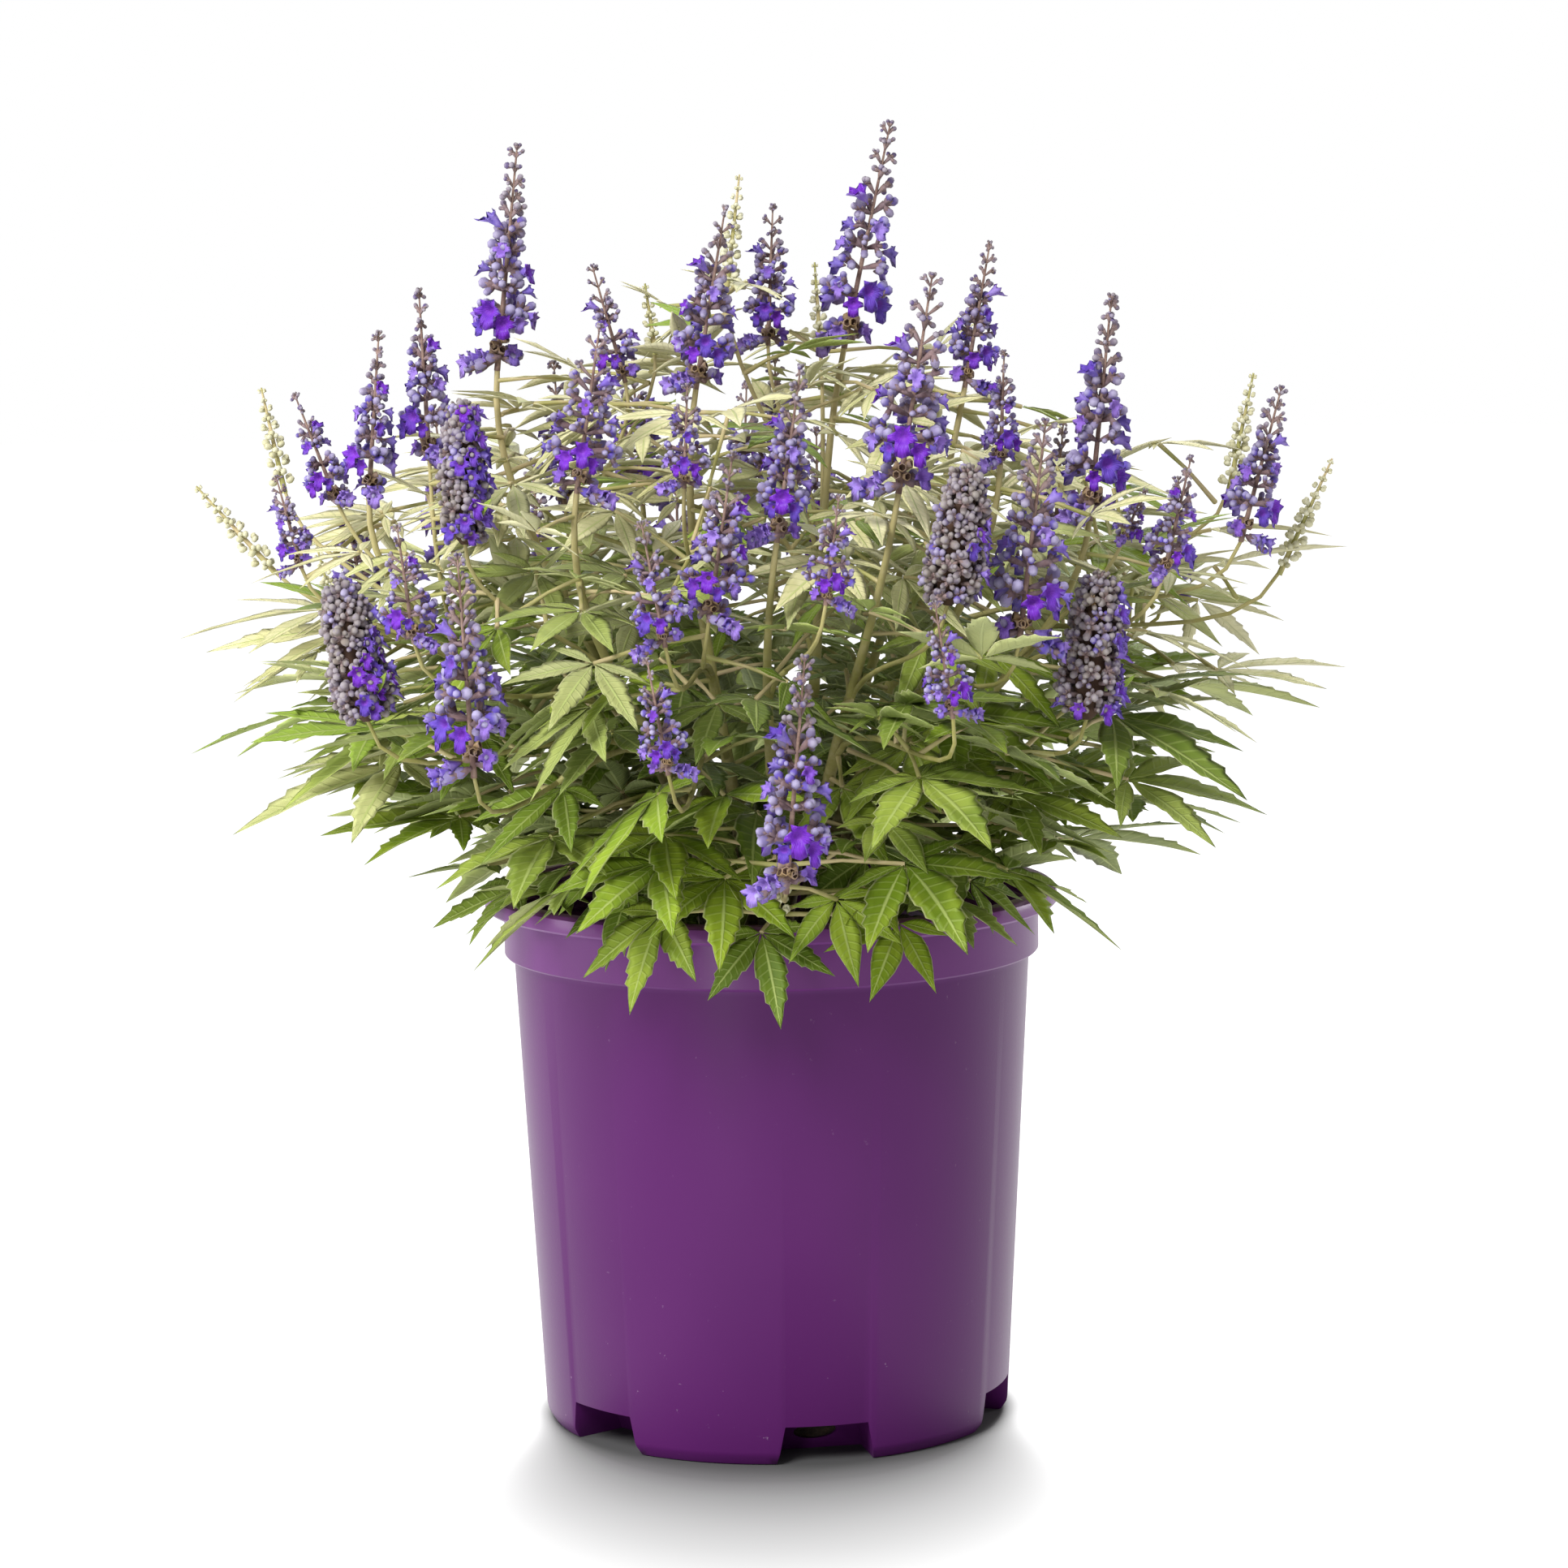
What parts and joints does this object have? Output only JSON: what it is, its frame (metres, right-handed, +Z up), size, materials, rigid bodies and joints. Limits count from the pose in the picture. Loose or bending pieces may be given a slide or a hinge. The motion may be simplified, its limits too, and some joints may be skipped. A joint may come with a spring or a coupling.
{
  "type": "potted chaste tree",
  "caption": "Young chaste tree in flower: branching stems with palmate leaves and upright blue-violet flower spikes, standing in a tapered plastic nursery pot filled with potting mix.",
  "frame": {"origin": "centre of the pot's flat underside", "axes": "+Z up, -Y towards the side seen in the picture, +X to the right of that view"},
  "size_m": [0.5399, 0.4814, 0.5946],
  "materials": {
    "pot": "satin",
    "potting_mix": "matte",
    "leafy_stem": "matte",
    "flower": "matte"
  },
  "bodies": {
    "root": {"pot": "pot", "soil": "potting_mix", "leafy_stem_01": "leafy_stem", "leafy_stem_02": "leafy_stem", "leafy_stem_03": "leafy_stem", "leafy_stem_04": "leafy_stem", "leafy_stem_05": "leafy_stem", "leafy_stem_06": "leafy_stem", "leafy_stem_07": "leafy_stem", "leafy_stem_08": "leafy_stem", "leafy_stem_09": "leafy_stem", "leafy_stem_10": "leafy_stem", "leafy_stem_11": "leafy_stem", "leafy_stem_12": "leafy_stem", "flower_spike_01": "flower", "flower_spike_02": "flower", "flower_spike_03": "flower", "flower_spike_04": "flower", "flower_spike_05": "flower", "flower_spike_06": "flower", "flower_spike_07": "flower", "flower_spike_08": "flower", "flower_spike_09": "flower", "flower_spike_10": "flower", "flower_spike_11": "flower", "flower_spike_12": "flower", "flower_spike_13": "flower", "flower_spike_14": "flower", "flower_spike_15": "flower", "flower_spike_16": "flower", "flower_spike_17": "flower", "flower_spike_18": "flower", "flower_spike_19": "flower", "flower_spike_20": "flower", "flower_spike_21": "flower", "flower_spike_22": "flower", "flower_spike_23": "flower", "flower_spike_24": "flower", "flower_spike_25": "flower", "flower_spike_26": "flower", "flower_spike_27": "flower", "flower_spike_28": "flower", "flower_spike_29": "flower", "flower_spike_30": "flower", "flower_spike_31": "flower", "flower_spike_32": "flower", "flower_spike_33": "flower", "flower_spike_34": "flower", "flower_spike_35": "flower", "flower_spike_36": "flower", "flower_spike_37": "flower", "flower_spike_38": "flower", "flower_spike_39": "flower", "flower_spike_40": "flower", "flower_spike_41": "flower", "flower_spike_42": "flower", "flower_spike_43": "flower", "flower_spike_44": "flower", "flower_spike_45": "flower", "flower_spike_46": "flower"}
  },
  "joints": []
}
